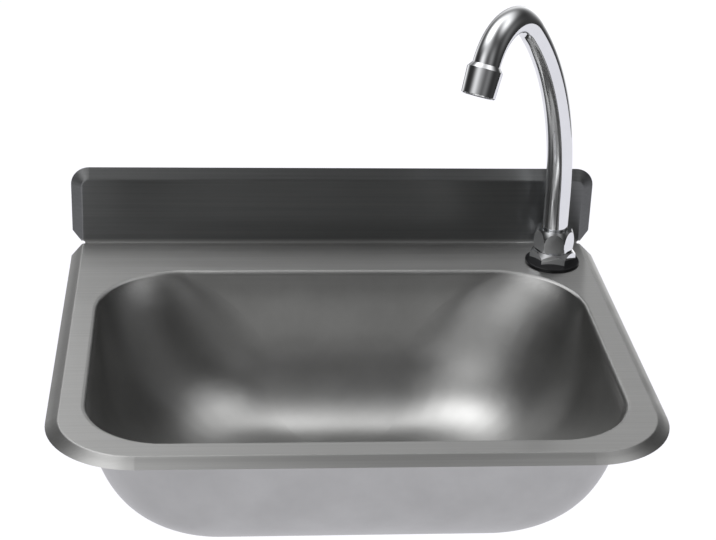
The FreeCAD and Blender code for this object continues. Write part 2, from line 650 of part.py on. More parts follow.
def tap_base():
    """Threaded shank, hexagon and swivel socket, turned and milled from one bar."""
    body = new_body("tap_base", TAP)
    shank = "shank_diameter / 2"
    turn(body, "turned_bar", [("waterway / 2", "-shank_length"),
                              (shank, "-shank_length"),
                              (shank, f"{BACKNUT_FOOT} - relief"),
                              (THREAD_ROOT, f"{BACKNUT_FOOT} - relief"),
                              (THREAD_ROOT, BACKNUT_FOOT),
                              (shank, BACKNUT_FOOT),
                              (shank, "gasket_height"),
                              ("spigot_diameter / 2", "gasket_height"),
                              ("spigot_diameter / 2", SPIGOT_TOP),
                              ("socket_diameter / 2", SPIGOT_TOP),
                              ("socket_diameter / 2", SOCKET_FLOOR),
                              ("waterway / 2", SOCKET_FLOOR)])
    flats = new_sketch(body, "hexagon_outline", "XY_Plane", "gasket_height")
    hexagon(flats, "base_flats", "base_turn")
    pad(body, "hexagon", flats, "base_height")
    bore = new_sketch(body, "bore_outline", "XY_Plane", HEX_TOP)
    circle(bore, "waterway")
    pocket(body, "bore", bore, "base_height + gasket_height")
    bevel = "base_flats / 2 - relief / 2"
    beyond = "base_flats"
    turn(body, "hexagon_bevel", [(bevel, HEX_TOP),
                                 (beyond, f"{HEX_TOP} - ({beyond} - ({bevel})) * tan(base_crown)"),
                                 (beyond, HEX_TOP)], "Groove")
    return body


def spout_nut():
    """Domed hexagon nut that holds the spout down and lets it turn."""
    body = new_body("spout_nut", TAP)
    outline = new_sketch(body, "hexagon_outline", "XY_Plane", NUT_FOOT)
    hexagon(outline, "nut_flats", "base_turn")
    pad(body, "hexagon", outline, "nut_height")
    inner = "(spigot_diameter / 2 + thread_clearance)"
    lip = "(tube_diameter / 2 + 2 * nut_play)"
    below = f"{NUT_FOOT} - nut_gap / 2"
    above = f"{NUT_HEAD} + nut_gap"
    turn(body, "bore", [("0", below), (inner, below), (inner, NUT_LIP), (lip, NUT_LIP), (lip, above),
                        ("0", above)], "Groove")
    dome = new_sketch(body, "dome_outline", "XZ_Plane")
    dome_cut(dome)
    feature = body.newObject("PartDesign::Groove", "dome")
    feature.Profile = dome
    feature.ReferenceAxis = (dome, ["V_Axis"])
    feature.Angle = 360.0
    doc.recompute()
    return body


def dome_cut(sketch):
    """What is turned off the hexagon: everything outside an arc from the nut's foot to its top."""
    foot, head = number("nut_foot / 2"), number("nut_top / 2")
    low, high = number(NUT_FOOT), number(NUT_HEAD)
    radius = number("nut_dome")
    far = number("nut_flats")
    # centre of the arc through both ends, on the axis side of them
    middle = FreeCAD.Vector((foot + head) / 2, (low + high) / 2, 0)
    chord = FreeCAD.Vector(head - foot, high - low, 0)
    reach = math.sqrt(radius ** 2 - (chord.Length / 2) ** 2)
    inward = FreeCAD.Vector(-chord.y, chord.x, 0).normalize()
    centre = middle + inward * reach
    start = math.atan2(low - centre.y, foot - centre.x)
    end = math.atan2(high - centre.y, head - centre.x)
    corners = [(head, high), (far, high), (far, low), (foot, low)]
    for (x0, y0), (x1, y1) in zip(corners, corners[1:]):
        line = Part.LineSegment(FreeCAD.Vector(x0, y0, 0), FreeCAD.Vector(x1, y1, 0))
        sketch.addGeometry(line, False)
    circle_of_dome = Part.Circle(centre, FreeCAD.Vector(0, 0, 1), radius)
    arc = sketch.addGeometry(Part.ArcOfCircle(circle_of_dome, start, end), False)
    for first, second in (((0, 2), (1, 1)), ((1, 2), (2, 1)), ((2, 2), (arc, 1)), ((arc, 2), (0, 1))):
        sketch.addConstraint(Sketcher.Constraint("Coincident", *first, *second))
    pin(sketch, 0, 1, "nut_top / 2", NUT_HEAD)
    pin(sketch, 1, 1, "nut_flats", NUT_HEAD)
    pin(sketch, 2, 1, "nut_flats", NUT_FOOT)
    pin(sketch, 2, 2, "nut_foot / 2", NUT_FOOT)
    bind(sketch, Sketcher.Constraint("Radius", arc, radius), "nut_dome")


def backnut():
    body = new_body("backnut", TAP)
    outline = new_sketch(body, "hexagon_outline", "XY_Plane", BACKNUT_FOOT)
    hexagon(outline, "backnut_flats", "base_turn")
    circle(outline, "shank_diameter + 2 * thread_clearance")
    pad(body, "hexagon", outline, "backnut_height")
    return body


# ---------------------------------------------------------------- the turning spout
SPOUT = (f"placement(vector({TAP_ACROSS}; {TAP_DEEP}; 0);"
         " rotation(vector(0; 0; 1); -90 - spout_swing))")
TOTAL_TURN = "(sweep_turn + crook_turn)"
END_X = (f"(sweep_radius * (1 - cos(sweep_turn))"
         f" + crook_radius * (cos(sweep_turn) - cos{TOTAL_TURN}))")
END_Z = (f"(riser_top + sweep_radius * sin(sweep_turn)"
         f" + crook_radius * (sin{TOTAL_TURN} - sin(sweep_turn)))")
OUTLET = (f"{SPOUT} * placement(vector({END_X}; 0; {END_Z});"
          f" rotation(vector(0; 1; 0); {TOTAL_TURN}))")
SLEEVE = "((tube_diameter - 2 * tube_wall) / 2 - thread_clearance)"


def spout_collar():
    """Turned piece inside the tube's foot: a spigot with two O-ring grooves, a shoulder, a sleeve."""
    body = new_body("spout_collar", SPOUT)
    foot = f"({SOCKET_FLOOR} + nut_gap)"
    points = [("waterway / 2", foot), (COLLAR_RADIUS, foot)]
    floor = f"({COLLAR_RADIUS} - ring_section)"
    for i in range(2):
        middle = f"({foot} + ring_start + {i} * ring_pitch)"
        low = f"{middle} - ring_section * 5 / 8"
        high = f"{middle} + ring_section * 5 / 8"
        points += [(COLLAR_RADIUS, low), (floor, low), (floor, high), (COLLAR_RADIUS, high)]
    points += [(COLLAR_RADIUS, SHOULDER_FOOT),
               ("shoulder_diameter / 2", SHOULDER_FOOT),
               ("shoulder_diameter / 2", SHOULDER_HEAD),
               (SLEEVE, SHOULDER_HEAD),
               (SLEEVE, f"{SHOULDER_HEAD} + 3 * shoulder_height"),
               ("waterway / 2", f"{SHOULDER_HEAD} + 3 * shoulder_height")]
    turn(body, "turned", points)
    return body


def spout_o_rings():
    """The two O-rings that seal the spout in its socket."""
    rings = []
    for i in range(2):
        item = doc.addObject("Part::Torus", f"o_ring_{i + 1}")
        item.setExpression("Radius1", size(f"{COLLAR_RADIUS} - ring_section / 2"))
        item.setExpression("Radius2", size("ring_section / 2"))
        level = f"{SOCKET_FLOOR} + nut_gap + ring_start + {i} * ring_pitch"
        place = f"{SPOUT} * placement(vector(0; 0; {level}); rotation(vector(0; 0; 1); 0))"
        item.setExpression("Placement", size(place))
        rings.append(item)
    group = doc.addObject("Part::Compound", "spout_o_rings")
    group.Links = rings
    doc.recompute()
    return group


def spout_tube():
    """One bent tube: a straight riser, a long curve, a tight curve over the top, a straight end."""
    body = new_body("spout_tube", SPOUT)
    path = new_sketch(body, "centre_line", "XZ_Plane")
    foot, top = number(SHOULDER_HEAD), number("riser_top")
    long, tight = number("sweep_radius"), number("crook_radius")
    a = math.radians(number("sweep_turn"))
    b = math.radians(number(TOTAL_TURN))
    knee = FreeCAD.Vector(long * (1 - math.cos(a)), top + long * math.sin(a), 0)
    end = FreeCAD.Vector(number(END_X), number(END_Z), 0)
    tip = end + FreeCAD.Vector(math.sin(b), math.cos(b), 0) * number("tube_tail")
    long_circle = Part.Circle(FreeCAD.Vector(long, top, 0), FreeCAD.Vector(0, 0, 1), long)
    centre = knee + FreeCAD.Vector(math.cos(a), -math.sin(a), 0) * tight
    tight_circle = Part.Circle(centre, FreeCAD.Vector(0, 0, 1), tight)
    path.addGeometry(Part.LineSegment(FreeCAD.Vector(0, foot, 0), FreeCAD.Vector(0, top, 0)), False)
    path.addGeometry(Part.ArcOfCircle(long_circle, math.pi - a, math.pi), False)
    path.addGeometry(Part.ArcOfCircle(tight_circle, math.pi - b, math.pi - a), False)
    path.addGeometry(Part.LineSegment(end, tip), False)
    pin(path, 0, 1, "0", SHOULDER_HEAD)
    pin(path, 0, 2, "0", "riser_top")
    path.addConstraint(Sketcher.Constraint("Tangent", 0, 2, 1, 2))
    path.addConstraint(Sketcher.Constraint("Tangent", 1, 1, 2, 2))
    path.addConstraint(Sketcher.Constraint("Tangent", 2, 1, 3, 1))
    bind(path, Sketcher.Constraint("Radius", 1, long), "sweep_radius")
    bind(path, Sketcher.Constraint("Radius", 2, tight), "crook_radius")
    pin(path, 2, 1, END_X, END_Z)
    pin(path, 3, 2, up=f"{END_Z} + tube_tail * cos{TOTAL_TURN}")
    wall = new_sketch(body, "wall", "XY_Plane", SHOULDER_HEAD)
    circle(wall, "tube_diameter")
    circle(wall, "tube_diameter - 2 * tube_wall")
    doc.recompute()
    pipe = body.newObject("PartDesign::AdditivePipe", "bent_tube")
    pipe.Profile = wall
    pipe.Spine = path
    doc.recompute()
    return body


# ---------------------------------------------------------------- the outlet, along its own axis
TIP_TOP = "(tip_rise + tip_length)"
WASHER_TOP = f"({TIP_TOP} + aerator_washer_height)"
HOUSING_TOP = "(tip_rise + aerator_length)"
LIP = f"({HOUSING_TOP} - aerator_lip)"
SCREEN_FOOT = f"({LIP} - screen_height)"
CHAMBER = "(tip_thread / 2 - hole_clearance / 2)"
INSERT_RADIUS = f"({CHAMBER} - hole_clearance)"


def spout_tip():
    """Threaded end brazed on the tube; the tube stops against a step inside it."""
    body = new_body("spout_tip", OUTLET)
    socket = "(tube_diameter / 2 + thread_clearance / 2)"
    step = "(tube_diameter / 2 - tube_wall)"
    turn(body, "turned", [(socket, "0"),
                          (f"{socket} + hole_clearance", "0"),
                          ("tip_shoulder / 2", "tip_rise"),
                          ("tip_thread / 2", "tip_rise"),
                          ("tip_thread / 2", TIP_TOP),
                          (step, TIP_TOP),
                          (step, "tube_tail"),
                          (socket, "tube_tail")])
    return body


def aerator_housing():
    body = new_body("aerator_housing", OUTLET)
    outer = "aerator_diameter / 2"
    foot = "aerator_foot / 2"
    turn(body, "turned", [("tip_thread / 2 + thread_clearance", "tip_rise"),
                          (outer, "tip_rise"),
                          (foot, f"{HOUSING_TOP} - aerator_lip / 2"),
                          (f"{foot} - aerator_lip / 2", HOUSING_TOP),
                          ("aerator_mouth / 2", HOUSING_TOP),
                          ("aerator_mouth / 2", LIP),
                          (CHAMBER, LIP),
                          (CHAMBER, TIP_TOP),
                          ("tip_thread / 2 + thread_clearance", TIP_TOP)])
    return body


def jets(body, level, depth, inner_count, outer_count):
    """Holes in two circles and one in the middle."""
    holes = []
    for name, across in (("inner_jet", "jet_inner_circle / 2"), ("outer_jet", "jet_circle / 2")):
        outline = new_sketch(body, f"{name}_outline", "XY_Plane", level)
        circle(outline, "jet_hole", across, "0")
        holes.append(pocket(body, name, outline, depth))
        polar(body, f"{name}s", holes[-1], inner_count if name == "inner_jet" else outer_count)
    outline = new_sketch(body, "middle_jet_outline", "XY_Plane", level)
    circle(outline, "jet_hole")
    pocket(body, "middle_jet", outline, depth)


def aerator_insert():
    """Plastic flow straightener: a perforated deck on a skirt."""
    body = new_body("aerator_insert", OUTLET)
    inner = f"({INSERT_RADIUS} - aerator_washer_height)"
    deck = f"({WASHER_TOP} + insert_deck)"
    turn(body, "cup", [("0", WASHER_TOP), (INSERT_RADIUS, WASHER_TOP), (INSERT_RADIUS, SCREEN_FOOT),
                       (inner, SCREEN_FOOT), (inner, deck), ("0", deck)])
    jets(body, deck, "insert_deck", 6, 12)
    return body


def aerator_screen():
    body = new_body("aerator_screen", OUTLET)
    turn(body, "disc", [("0", SCREEN_FOOT), (INSERT_RADIUS, SCREEN_FOOT), (INSERT_RADIUS, LIP), ("0", LIP)])
    jets(body, LIP, "screen_height", 6, 12)
    return body


# ---------------------------------------------------------------- the waste
WASTE = f"placement(vector(0; {WASTE_Y}; -bowl_depth); rotation(vector(0; 0; 1); 0))"
SEAT = "-recess_depth"
SEAT_UNDER = f"({SEAT} - sheet_metal)"
FLANGE_TOP = f"({SEAT_UNDER} - seal_height)"
FLANGE_UNDER = f"({FLANGE_TOP} - tail_flange_height)"
TAIL_END = f"({FLANGE_UNDER} - tail_length)"
RIB_TOP = f"({FLANGE_UNDER} - rib_level)"
RIB_UNDER = f"({RIB_TOP} - rib_height)"
SCREW_HEAD_TOP = "(waste_screw_head_height - dish_depth)"


def strainer_plate():
    """Dished plate that covers the waste, flush with the bowl's floor."""
    body = new_body("strainer_plate", WASTE)
    slope = "(strainer_dish / 2 - 1.6 * dish_depth)"
    flat = "strainer_dish / 2"
    turn(body, "pressed", [("0", "-dish_depth"),
                           (slope, "-dish_depth"),
                           (flat, "0"),
                           ("strainer_diameter / 2", "0"),
                           ("strainer_diameter / 2", "-strainer_metal"),
                           (f"{flat} + strainer_metal / 2", "-strainer_metal"),
                           (f"{slope} + strainer_metal / 2", "-dish_depth - strainer_metal"),
                           ("0", "-dish_depth - strainer_metal")])
    for name, across, count in (("outer", "drain_circle / 2", 10), ("inner", "drain_inner_circle / 2", 6)):
        outline = new_sketch(body, f"{name}_drain_outline", "XY_Plane")
        circle(outline, "drain_hole" if name == "outer" else "drain_hole * 5 / 6", across, "0")
        polar(body, f"{name}_drains", pocket(body, f"{name}_drain", outline), count)
    outline = new_sketch(body, "screw_hole_outline", "XY_Plane")
    circle(outline, "waste_screw + 2 * hole_clearance")
    pocket(body, "screw_hole_cut", outline)
    return body


def waste_tail():
    """Plastic tail under the bowl: a flange, a threaded pipe and ribs that carry the screw's boss."""
    body = new_body("waste_tail", WASTE)
    bore = "tail_bore / 2"
    turn(body, "pipe", [(bore, FLANGE_TOP), ("tail_flange / 2", FLANGE_TOP),
                        ("tail_flange / 2", FLANGE_UNDER), ("tail_thread / 2", FLANGE_UNDER),
                        ("tail_thread / 2", TAIL_END), (bore, TAIL_END)])
    boss = new_sketch(body, "boss_outline", "XY_Plane", RIB_TOP)
    circle(boss, "boss_diameter")
    pad(body, "boss", boss, "rib_height", reverse=True)
    rib = new_sketch(body, "rib_outline", "XY_Plane", RIB_TOP)
    reach = "(tail_bore / 2 + rib_width / 4)"
    half = "rib_width / 2"
    inward = "boss_diameter / 4"
    polygon(rib, [(inward, f"-{half}"), (reach, f"-{half}"), (reach, half), (inward, half)])
    polar(body, "ribs", pad(body, "rib", rib, "rib_height", reverse=True), 3)
    hole = new_sketch(body, "boss_hole_outline", "XY_Plane", RIB_TOP)
    circle(hole, "waste_screw + 2 * thread_clearance")
    pocket(body, "boss_hole", hole, "rib_height")
    return body


def waste_screw():
    body = new_body("waste_screw", WASTE)
    head = "waste_screw_head / 2"
    shank = "waste_screw / 2"
    end = f"{RIB_UNDER} - rib_width / 4"
    turn(body, "turned", [("0", end), (shank, end), (shank, "-dish_depth"), (head, "-dish_depth"),
                          (head, "-dish_depth / 2"), (f"{head} - relief", SCREW_HEAD_TOP),
                          ("0", SCREW_HEAD_TOP)])
    slot = new_sketch(body, "slot_outline", "XY_Plane", SCREW_HEAD_TOP)
    wide = "waste_screw / 8"
    polygon(slot, [("-waste_screw_head", f"-{wide}"), ("waste_screw_head", f"-{wide}"),
                   ("waste_screw_head", wide), ("-waste_screw_head", wide)])
    pocket(body, "slot", slot, "waste_screw_head_height / 2")
    return body


SHANK_LOOSE = "shank_diameter / 2 + hole_clearance"
pieces = [
    basin,
    hook_rail(),
    wall_bracket(),
    tap_gasket(),
    tap_base(),
    ring("deck_washer", TAP, SHANK_LOOSE, "deck_washer_diameter / 2", WASHER_FOOT, "-sheet_metal"),
    backnut(),
    spout_nut(),
    ring("glide_ring", SPOUT, f"{COLLAR_RADIUS} + 2 * nut_play", "spigot_diameter / 2 - nut_play",
         SPIGOT_TOP, SHOULDER_FOOT),
    spout_collar(),
    spout_o_rings(),
    spout_tube(),
    spout_tip(),
    aerator_housing(),
    ring("aerator_washer", OUTLET, "tube_diameter / 2 - tube_wall - nut_gap",
         f"{CHAMBER} - hole_clearance / 2", TIP_TOP, WASHER_TOP),
    aerator_insert(),
    aerator_screen(),
    strainer_plate(),
    ring("strainer_seal", WASTE, "waste_hole / 2 + seal_height", "strainer_diameter / 2 - seal_height",
         SEAT, "-strainer_metal"),
    ring("tail_seal", WASTE, "waste_hole / 2 + seal_height", "tail_flange / 2", FLANGE_TOP, SEAT_UNDER),
    waste_tail(),
    waste_screw(),
]
doc.recompute()

# ---------------------------------------------------------------- checks and export
for item in doc.Objects:
    if {"Invalid", "Error"} & set(item.State):
        raise RuntimeError(f"{item.Label}: {item.State}")
os.makedirs("parts", exist_ok=True)
for piece in pieces:
    if piece.Shape.isNull() or not piece.Shape.isValid():
        raise RuntimeError(f"{piece.Label} has no valid shape")
    piece.Shape.exportStep(f"parts/{piece.Label}.step")
    box = piece.Shape.BoundBox
    print(f"{piece.Label}: {len(piece.Shape.Solids)} solid, {piece.Shape.Volume:.0f} mm3,"
          f" {box.XLength:.1f} x {box.YLength:.1f} x {box.ZLength:.1f} mm")
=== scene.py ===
# %% [markdown]
# # A wall-hung stainless hand wash basin
# The basin is pressed and folded from one brushed sheet, and a chromed swan-neck spout stands on
# its right-hand back corner. The exact solids come in as a fixed frame. This script gives them
# their finishes, adds the marks that a press, a brush and a polisher leave, and lights them.

# %% Load the frame
import json
import math

import bmesh
import bpy
from mathutils import Matrix, Vector

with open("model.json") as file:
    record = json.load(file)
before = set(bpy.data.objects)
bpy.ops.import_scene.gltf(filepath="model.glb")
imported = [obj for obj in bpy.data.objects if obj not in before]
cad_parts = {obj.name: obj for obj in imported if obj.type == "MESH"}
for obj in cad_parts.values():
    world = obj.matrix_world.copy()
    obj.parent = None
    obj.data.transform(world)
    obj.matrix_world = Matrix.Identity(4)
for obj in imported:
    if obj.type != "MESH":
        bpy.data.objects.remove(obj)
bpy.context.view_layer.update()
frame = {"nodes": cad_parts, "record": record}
nodes = frame["nodes"]
print("pieces in the frame:", len(nodes))

# %% [markdown]
# ## Small helpers for materials
# A material is a graph of nodes. Building one by hand repeats the same three moves: make a node,
# set its sockets, link it on. These helpers do only that, so that each finish below reads as a list
# of what it is made of.

# %% Node helpers
def add(tree, kind, values=(), **settings):
    """Add a shader node, set its own settings and the values of its sockets."""
    node = tree.nodes.new(kind)
    for name, value in settings.items():
        setattr(node, name, value)
    for name, value in dict(values).items():
        node.inputs[name].default_value = value
    return node


def link(tree, source, target):
    tree.links.new(source, target)


def feed(tree, value, socket):
    """Link a socket's output to an input, or set the input to a plain value."""
    if isinstance(value, bpy.types.NodeSocket):
        link(tree, value, socket)
    else:
        socket.default_value = value


def math_node(tree, operation, first, second=0.0):
    """A Math node whose inputs are sockets or plain numbers."""
    node = add(tree, "ShaderNodeMath", operation=operation)
    feed(tree, first, node.inputs[0])
    feed(tree, second, node.inputs[1])
    return node.outputs[0]


def mixed(tree, share, first, second, blend="MIX"):
    """A colour mix whose share and two colours are sockets or plain values."""
    node = add(tree, "ShaderNodeMixRGB", blend_type=blend)
    for value, socket in zip((share, first, second), node.inputs):
        feed(tree, value, socket)
    return node.outputs["Color"]


def new_material(name):
    """A material that holds a Principled BSDF wired to its output."""
    material = bpy.data.materials.new(name)
    material.use_nodes = True
    tree = material.node_tree
    tree.nodes.clear()
    output = add(tree, "ShaderNodeOutputMaterial")
    shader = add(tree, "ShaderNodeBsdfPrincipled")
    link(tree, shader.outputs[0], output.inputs["Surface"])
    return material, tree, shader


# %% [markdown]
# ## The brushed grain, as a node group
# Stainless sheet is finished with an abrasive belt: thousands of very fine scratches, all one way.
# A noise stretched about a hundred times along the brushing makes them. Two noises are enough: one
# for the scratches that the eye can just count and one for the soft bands that the belt leaves.
# The group puts out only masks that change over the surface, and the material decides how much of
# them its roughness, its colour and its bump take.

# %% Grain group
def grain_group():
    group = bpy.data.node_groups.new("brushed_grain", "ShaderNodeTree")
    sockets = group.interface
    sockets.new_socket("Along", in_out="INPUT", socket_type="NodeSocketVector")
    sockets.new_socket("Scratches", in_out="OUTPUT", socket_type="NodeSocketFloat")
    sockets.new_socket("Bands", in_out="OUTPUT", socket_type="NodeSocketFloat")
    entry = add(group, "NodeGroupInput")
    leave = add(group, "NodeGroupOutput")
    fine = add(group, "ShaderNodeTexNoise", {"Scale": 1.0, "Detail": 3.0, "Roughness": 0.6})
    broad = add(group, "ShaderNodeTexNoise", {"Scale": 0.06, "Detail": 2.0, "Roughness": 0.5})
    link(group, entry.outputs["Along"], fine.inputs["Vector"])
    link(group, entry.outputs["Along"], broad.inputs["Vector"])
    link(group, fine.outputs["Fac"], leave.inputs["Scratches"])
    link(group, broad.outputs["Fac"], leave.inputs["Bands"])
    return group


GRAIN = grain_group()
print("grain sockets:", [socket.name for socket in GRAIN.interface.items_tree])

# %% [markdown]
# ## Sheet metal
# The sheet was brushed flat, from left to right, before it was pressed, so its scratches run along
# X on the deck, the borders and the upstand. In the bowl the press stretched the metal and a
# polisher went over it, which leaves a finer, softer and slightly cloudy satin. It is one piece of
# metal, so one material does both: a mask by height fades the scratches out below the lip and
# leaves the clouds. A second mask picks out the upstand. The lights alone leave it lighter than
# the photograph shows, so its colour is darkened there: painted shade, not a tint of the steel.

# %% Masks and noise
LIP_LEVELS = (-0.012, -0.002)  # in metres: below is the bowl, above is the flat sheet
FOLD_LEVELS = (0.0015, 0.0035)  # below is the deck, above is the upstand


def height_mask(tree, place, levels):
    """0 below the first level and 1 above the second one."""
    low, high = levels
    split = add(tree, "ShaderNodeSeparateXYZ")
    link(tree, place, split.inputs[0])
    span = add(tree, "ShaderNodeMapRange", {"From Min": low, "From Max": high}, clamp=True)
    link(tree, split.outputs["Z"], span.inputs["Value"])
    return span.outputs["Result"]


def cloudy(tree, place, scale):
    """A soft noise, for a polish or a moulding that is never quite even."""
    noise = add(tree, "ShaderNodeTexNoise", {"Scale": scale, "Detail": 4.0, "Roughness": 0.6})
    link(tree, place, noise.inputs["Vector"])
    return noise.outputs["Fac"]


def scaled(tree, value, factor, offset):
    """value * factor + offset"""
    result = math_node(tree, "MULTIPLY_ADD", value, factor)
    result.node.inputs[2].default_value = offset
    return result


def spread_about(tree, value, middle, spread):
    """Turn a mask from 0 to 1 into a value that differs by half the spread from the middle."""
    return scaled(tree, value, spread, middle - spread / 2)


print("lip between", LIP_LEVELS, "and fold between", FOLD_LEVELS)

# %% [markdown]
# ### How rough the sheet is
# A belt leaves the flat sheet a little rougher than the polished bowl, in scratches and bands. The
# bowl's own roughness only drifts in clouds. It stays above 0.275. The renderer's denoiser takes a
# sharper metal for a mirror, and leaves ring-shaped marks where the noise crosses that value.

# %% Roughness of the sheet
SATIN_ROUGHNESS = 0.30
CLOUD_SPREAD = 0.05
BELT_ROUGHNESS = 0.04  # what the belt adds on the flat sheet
SCRATCH_SPREAD = 0.12
BAND_SPREAD = 0.10


def sheet_roughness(tree, grain, clouds, flat):
    """The satin everywhere, and the belt's marks on the flat sheet."""
    scratches = spread_about(tree, grain.outputs["Scratches"], 0.0, SCRATCH_SPREAD)
    bands = spread_about(tree, grain.outputs["Bands"], 0.0, BAND_SPREAD)
    marks = math_node(tree, "ADD", math_node(tree, "MULTIPLY", scratches, flat),
                      math_node(tree, "MULTIPLY", bands, flat))
    satin = math_node(tree, "ADD", spread_about(tree, clouds, SATIN_ROUGHNESS, CLOUD_SPREAD),
                      math_node(tree, "MULTIPLY", flat, BELT_ROUGHNESS))
    return math_node(tree, "ADD", marks, satin)


print("satin:", SATIN_ROUGHNESS, "belt:", round(SATIN_ROUGHNESS + BELT_ROUGHNESS, 2))

# %% Colour and grain of the sheet
STEEL = (0.505, 0.505, 0.50)
STEEL_SPREAD = 0.16  # how much lighter or darker its pattern makes the steel
# painted shade: this colour darkens the upstand, where the lights leave it too light
UPSTAND_PAINTED_SHADE = (0.52, 0.53, 0.54, 1)
GRAIN_STRENGTH = 0.35
GRAIN_DEPTH = 0.00002


def sheet_colour(tree, grain, clouds, flat, shaded_upstand_mask):
    """Steel that varies with the clouds in the bowl and the scratches on the flat sheet, darkened
    on the upstand as painted shade.
    """
    pattern = mixed(tree, flat, clouds, grain.outputs["Scratches"])
    darker = (*[part * (1 - STEEL_SPREAD) for part in STEEL], 1)
    lighter = (*[part * (1 + STEEL_SPREAD) for part in STEEL], 1)
    steel = mixed(tree, pattern, darker, lighter)
    # painted shade: the steel is multiplied darker on the upstand
    return mixed(tree, shaded_upstand_mask, steel, UPSTAND_PAINTED_SHADE, blend="MULTIPLY")


def sheet_normal(tree, grain, flat):
    """Scratches with a little depth, on the flat sheet only."""
    bump = add(tree, "ShaderNodeBump", {"Strength": GRAIN_STRENGTH, "Distance": GRAIN_DEPTH})
    link(tree, math_node(tree, "MULTIPLY", grain.outputs["Scratches"], flat), bump.inputs["Height"])
    return bump.outputs["Normal"]


print("steel:", STEEL, "grain depth:", GRAIN_DEPTH)

# %% [markdown]
# ### The way a brushed sheet reflects
# Scratches along X spread a reflection across them and keep it sharp along them. The shader does
# that with its anisotropy, which needs to know which way the scratches run. Its Tangent has no
# value of its own, only a link, so a vector along X is linked in. The bowl's satin has no
# direction, so the mask by height turns the anisotropy off there.

# %% Brushed sheet
GRAIN_STRETCH = (5.0, 480.0, 480.0)  # few scratches along X, many across
CLOUD_SCALE = 26.0
ANISOTROPY = 0.98
QUARTER_TURN = 0.25  # spreads the reflection across the tangent, not along it


def brushed_sheet(name):
    """One material for the flat sheet and the bowl."""
    material, tree, shader = new_material(name)
    shader.inputs["Metallic"].default_value = 1.0
    place = add(tree, "ShaderNodeTexCoord").outputs["Object"]
    stretch = add(tree, "ShaderNodeMapping", {"Scale": GRAIN_STRETCH})
    link(tree, place, stretch.inputs["Vector"])
    grain = add(tree, "ShaderNodeGroup", node_tree=GRAIN)
    link(tree, stretch.outputs["Vector"], grain.inputs["Along"])
    clouds = cloudy(tree, place, CLOUD_SCALE)
    flat = height_mask(tree, place, LIP_LEVELS)
    # this mask picks out the upstand for its painted shade
    shaded_upstand_mask = height_mask(tree, place, FOLD_LEVELS)
    link(tree, sheet_roughness(tree, grain, clouds, flat), shader.inputs["Roughness"])
    link(tree, sheet_colour(tree, grain, clouds, flat, shaded_upstand_mask), shader.inputs["Base Color"])
    link(tree, sheet_normal(tree, grain, flat), shader.inputs["Normal"])
    brushing = add(tree, "ShaderNodeCombineXYZ", {"X": 1.0})
    link(tree, brushing.outputs[0], shader.inputs["Tangent"])
    shader.inputs["Anisotropic Rotation"].default_value = QUARTER_TURN
    link(tree, math_node(tree, "MULTIPLY", flat, ANISOTROPY), shader.inputs["Anisotropic"])
    return material


def dress(name, material):
    """Give a CAD node its one finish."""
    slots = nodes[name].data.materials
    slots.clear()
    slots.append(material)


dress("basin", brushed_sheet("basin_brushed_sheet"))
print("basin faces:", len(nodes["basin"].data.polygons))

# %% [markdown]
# ## Plain finishes of the other pieces
# Chrome is a mirror whose polish is never quite even. Rolled steel and turned brass are satin.
# Rubber, fibre and moulded plastic are matt, with a grain that breaks the highlight. Each takes one
# noise for its roughness, its tint and its grain, so that no surface is a flat colour. Rolled steel
# and brass keep above the roughness at which the denoiser leaves its marks.

# %% One helper for all of them
DARKER, LIGHTER = 0.93, 1.05
BUMP_STRENGTH = 0.5


def plain_finish(name, colour, metallic, rough, spread, scale, bump_depth=0.0):
    """A finish whose roughness, tint and grain follow one noise of the given scale."""
    material, tree, shader = new_material(name)
    shader.inputs["Metallic"].default_value = metallic
    noise = cloudy(tree, add(tree, "ShaderNodeTexCoord").outputs["Object"], scale)
    link(tree, spread_about(tree, noise, rough, spread), shader.inputs["Roughness"])
    dark = (*[part * DARKER for part in colour], 1)
    light = (*[min(part * LIGHTER, 1.0) for part in colour], 1)
    link(tree, mixed(tree, noise, dark, light), shader.inputs["Base Color"])
    if bump_depth:
        bump = add(tree, "ShaderNodeBump", {"Strength": BUMP_STRENGTH, "Distance": bump_depth})
        link(tree, noise, bump.inputs["Height"])
        link(tree, bump.outputs["Normal"], shader.inputs["Normal"])
    return material


print("tint from", DARKER, "to", LIGHTER)

# %% Chrome, brass, rubber and plastic
METAL, NOT_METAL = 1.0, 0.0
finishes = {
    "tap_chrome": plain_finish(
        "tap_polished_chrome", (0.88, 0.89, 0.91), METAL, rough=0.05, spread=0.02, scale=40.0),
    "hanger_steel": plain_finish(
        "hanger_mill_steel", (0.52, 0.53, 0.54), METAL, rough=0.38, spread=0.12, scale=90.0,
        bump_depth=0.00002),
    "strainer_steel": plain_finish(
        "strainer_polished_steel", (0.64, 0.64, 0.65), METAL, rough=0.20, spread=0.08, scale=80.0),
    "raw_brass": plain_finish(
        "turned_brass", (0.70, 0.54, 0.27), METAL, rough=0.36, spread=0.10, scale=150.0,
        bump_depth=0.00002),
    "black_rubber": plain_finish(
        "black_rubber", (0.006, 0.006, 0.007), NOT_METAL, rough=0.30, spread=0.10, scale=220.0,
        bump_depth=0.00003),
    "grey_fibre": plain_finish(
        "grey_fibre", (0.28, 0.28, 0.27), NOT_METAL, rough=0.75, spread=0.15, scale=500.0,
        bump_depth=0.00005),
    "white_plastic": plain_finish(
        "white_moulded_plastic", (0.76, 0.76, 0.74), NOT_METAL, rough=0.42, spread=0.12,
        scale=120.0, bump_depth=0.00002),
    "black_plastic": plain_finish(
        "black_moulded_plastic", (0.03, 0.03, 0.034), NOT_METAL, rough=0.38, spread=0.12,
        scale=160.0, bump_depth=0.00002),
}
slot_of = {item["node"]: item["material_slot"] for item in frame["record"]["subparts"]}
for name, slot in slot_of.items():
    if slot in finishes:
        dress(name, finishes[slot])
print("finished:", {name: slot for name, slot in slot_of.items() if slot in finishes})

# %% [markdown]
# ## The studio
# Metal shows its surroundings more than its own colour, so the surroundings are made first: a pale
# floor, a white background and a dark tent with soft glows in its cloth, as lamps outside a light
# tent make them. The camera doesn't see the tent, only the floor and the white behind it.

